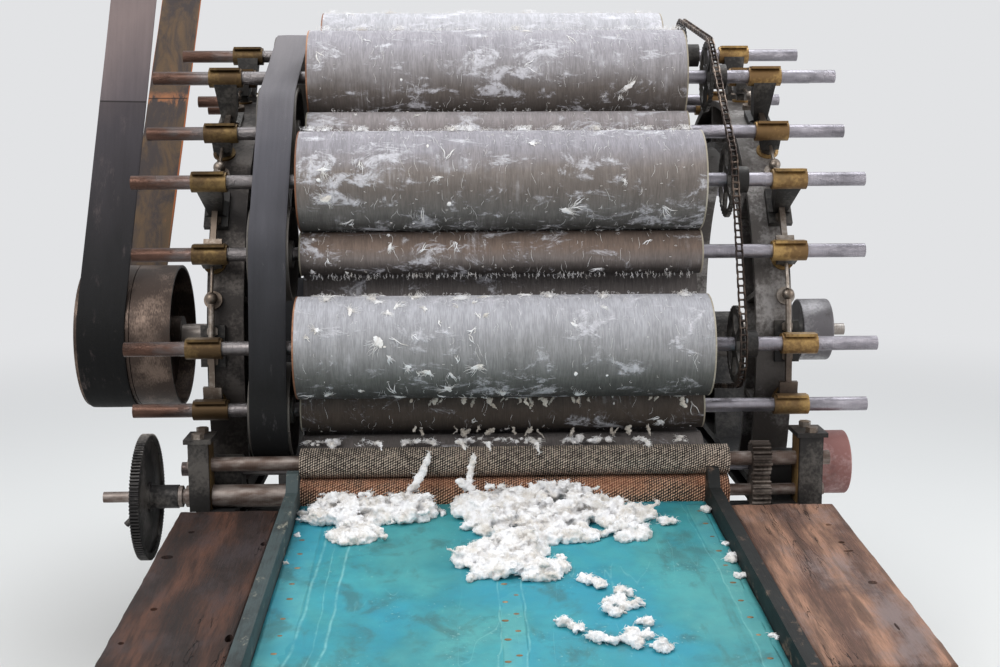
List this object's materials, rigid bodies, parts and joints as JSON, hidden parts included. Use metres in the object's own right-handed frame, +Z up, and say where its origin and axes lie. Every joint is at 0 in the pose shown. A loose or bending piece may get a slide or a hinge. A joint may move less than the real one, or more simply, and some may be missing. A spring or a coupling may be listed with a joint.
{
  "type": "wool carding machine",
  "caption": "Roller carding machine: clothed swift with workers and strippers on arched bends, chain and belt drives, feed rollers and a canvas feed table.",
  "frame": {"origin": "on the floor, under the middle of the swift's axis, at the underside of the floor sill", "axes": "+X along the rollers to the chain side, +Y from the feed table to the delivery end, +Z up"},
  "size_m": [2.109, 3.1167, 1.8316],
  "materials": {
    "roller_clothing": "card wire filled with wool fibre",
    "swift_clothing": "brown card wire",
    "feed_wire": "dark saw-tooth wire",
    "feed_rust": "rusty saw-tooth wire",
    "shaft_steel": "worn steel",
    "dark_iron": "dark oily casting",
    "pulley_iron": "worn grey pulley",
    "red_iron": "rust-red pulley",
    "brass": "dull brass",
    "belt": "worn flat belt",
    "chain_steel": "oily roller chain",
    "gear_iron": "worn gear",
    "apron_canvas": "teal canvas",
    "wool": "white wool",
    "timber_dark": "dark cracked timber",
    "timber_brown": "weathered timber",
    "board_paint": "old dark green paint"
  },
  "bodies": {
    "machine": {"adjusting_rods": "shaft_steel", "bend_left": "dark_iron", "bend_right": "dark_iron", "cross_rails": "dark_iron", "end_bearings": "dark_iron", "feed_apron": "apron_canvas", "feed_bearings": "brass", "feed_stands": "dark_iron", "hex_bolts": "shaft_steel", "main_drive_belt": "belt", "roller_bearings": "brass", "side_board_left": "board_paint", "side_board_right": "board_paint", "side_frame_left": "dark_iron", "side_frame_right": "dark_iron", "stripper_belt": "belt", "stripper_studs": "dark_iron", "stud_washers": "brass", "swift_bearings": "dark_iron", "table_deck": "timber_dark", "table_trestle": "timber_dark", "timber_left": "timber_dark", "timber_right": "timber_brown", "wool": "wool", "worker_brackets": "dark_iron", "worker_chain": "chain_steel"},
    "swift": {"swift_drum": "swift_clothing", "swift_shaft": "shaft_steel", "fast_pulley": "pulley_iron", "right_pulley": "pulley_iron", "stripper_drive_pulley": "pulley_iron"},
    "loose_pulley": {"loose_pulley": "pulley_iron"},
    "licker_in": {"licker_in": "swift_clothing", "licker_pulley": "red_iron"},
    "fancy": {"fancy": "roller_clothing"},
    "doffer": {"doffer": "roller_clothing"},
    "doffer_comb": {"doffer_comb": "shaft_steel"},
    "belt_idler": {"belt_idler": "pulley_iron"},
    "feed_upper": {"feed_roller_upper": "feed_wire", "feed_pinion_upper": "gear_iron"},
    "feed_lower": {"feed_roller_lower": "feed_rust", "feed_pinion_lower": "gear_iron", "feed_wheel": "gear_iron"},
    "apron_back": {"apron_roller_back": "shaft_steel"},
    "apron_front": {"apron_roller_front": "shaft_steel"},
    "worker_1": {"worker_1": "roller_clothing", "worker_1_sprocket": "dark_iron"},
    "stripper_1": {"stripper_1": "roller_clothing"},
    "worker_2": {"worker_2": "roller_clothing", "worker_2_sprocket": "dark_iron"},
    "stripper_2": {"stripper_2": "roller_clothing"},
    "worker_3": {"worker_3": "roller_clothing", "worker_3_sprocket": "dark_iron"},
    "stripper_3": {"stripper_3": "roller_clothing"},
    "worker_4": {"worker_4": "roller_clothing", "worker_4_sprocket": "dark_iron"},
    "stripper_4": {"stripper_4": "roller_clothing"},
    "worker_5": {"worker_5": "roller_clothing", "worker_5_sprocket": "dark_iron"},
    "stripper_5": {"stripper_5": "roller_clothing"}
  },
  "joints": [
    {"name": "swift_spin", "type": "hinge", "parent": "machine", "child": "swift", "pos_m": [0, 0, 0.82], "axis": [1, 0, 0], "continuous": true},
    {"name": "loose_pulley_spin", "type": "hinge", "parent": "swift", "child": "loose_pulley", "pos_m": [-0.907, 0, 0.82], "axis": [1, 0, 0], "continuous": true},
    {"name": "doffer_spin", "type": "hinge", "parent": "machine", "child": "doffer", "pos_m": [0, 0.87993, 0.66485], "axis": [1, 0, 0], "continuous": true},
    {"name": "worker_1_spin", "type": "hinge", "parent": "machine", "child": "worker_1", "pos_m": [0, -0.75321, 0.9005], "axis": [1, 0, 0], "continuous": true},
    {"name": "stripper_1_spin", "type": "hinge", "parent": "machine", "child": "stripper_1", "pos_m": [0, -0.68983, 0.74871], "axis": [1, 0, 0], "continuous": true},
    {"name": "worker_2_spin", "type": "hinge", "parent": "machine", "child": "worker_2", "pos_m": [0, -0.61515, 1.26203], "axis": [1, 0, 0], "continuous": true},
    {"name": "stripper_2_spin", "type": "hinge", "parent": "machine", "child": "stripper_2", "pos_m": [0, -0.63501, 1.09875], "axis": [1, 0, 0], "continuous": true},
    {"name": "worker_3_spin", "type": "hinge", "parent": "machine", "child": "worker_3", "pos_m": [0, -0.32611, 1.50371], "axis": [1, 0, 0], "continuous": true},
    {"name": "stripper_3_spin", "type": "hinge", "parent": "machine", "child": "stripper_3", "pos_m": [0, -0.42218, 1.37019], "axis": [1, 0, 0], "continuous": true},
    {"name": "worker_4_spin", "type": "hinge", "parent": "machine", "child": "worker_4", "pos_m": [0, 0.07392, 1.57388], "axis": [1, 0, 0], "continuous": true},
    {"name": "stripper_4_spin", "type": "hinge", "parent": "machine", "child": "stripper_4", "pos_m": [0, -0.0773, 1.50918], "axis": [1, 0, 0], "continuous": true},
    {"name": "worker_5_spin", "type": "hinge", "parent": "machine", "child": "worker_5", "pos_m": [0, 0.44096, 1.43592], "axis": [1, 0, 0], "continuous": true},
    {"name": "stripper_5_spin", "type": "hinge", "parent": "machine", "child": "stripper_5", "pos_m": [0, 0.27764, 1.4555], "axis": [1, 0, 0], "continuous": true},
    {"name": "belt_idler_spin", "type": "hinge", "parent": "machine", "child": "belt_idler", "pos_m": [-0.521, 0.33, 0.57], "axis": [1, 0, 0], "continuous": true},
    {"name": "licker_in_spin", "type": "hinge", "parent": "machine", "child": "licker_in", "pos_m": [0, -0.68758, 0.61149], "axis": [1, 0, 0], "continuous": true},
    {"name": "fancy_spin", "type": "hinge", "parent": "machine", "child": "fancy", "pos_m": [0, 0.68919, 1.17116], "axis": [1, 0, 0], "continuous": true},
    {"name": "comb_rock", "type": "hinge", "parent": "machine", "child": "doffer_comb", "pos_m": [0, 1.18193, 0.74984], "axis": [1, 0, 0], "range_deg": [-4, 8]},
    {"name": "feed_lower_spin", "type": "hinge", "parent": "machine", "child": "feed_lower", "pos_m": [0, -0.795, 0.576], "axis": [1, 0, 0], "continuous": true},
    {"name": "feed_upper_spin", "type": "hinge", "parent": "machine", "child": "feed_upper", "pos_m": [0, -0.795, 0.648], "axis": [1, 0, 0], "continuous": true},
    {"name": "apron_back_spin", "type": "hinge", "parent": "machine", "child": "apron_back", "pos_m": [0, -0.84819, 0.53606], "axis": [1, 0, 0], "continuous": true},
    {"name": "apron_front_spin", "type": "hinge", "parent": "machine", "child": "apron_front", "pos_m": [0, -1.79661, 0.4517], "axis": [1, 0, 0], "continuous": true}
  ],
  "couplings": [
    {"joint": "worker_1_spin", "follows": "doffer_spin", "ratio": 1.7297},
    {"joint": "stripper_1_spin", "follows": "swift_spin", "ratio": -1.3889},
    {"joint": "worker_2_spin", "follows": "doffer_spin", "ratio": 1.7297},
    {"joint": "stripper_2_spin", "follows": "swift_spin", "ratio": -1.3889},
    {"joint": "worker_3_spin", "follows": "doffer_spin", "ratio": 1.7297},
    {"joint": "stripper_3_spin", "follows": "swift_spin", "ratio": -1.3889},
    {"joint": "worker_4_spin", "follows": "doffer_spin", "ratio": 1.7297},
    {"joint": "stripper_4_spin", "follows": "swift_spin", "ratio": -1.3889},
    {"joint": "worker_5_spin", "follows": "doffer_spin", "ratio": 1.7297},
    {"joint": "stripper_5_spin", "follows": "swift_spin", "ratio": -1.3889},
    {"joint": "belt_idler_spin", "follows": "swift_spin", "ratio": -2.5},
    {"joint": "feed_upper_spin", "follows": "feed_lower_spin", "ratio": -1},
    {"joint": "apron_back_spin", "follows": "feed_lower_spin", "ratio": 1.7045},
    {"joint": "apron_front_spin", "follows": "feed_lower_spin", "ratio": 0.9375}
  ]
}
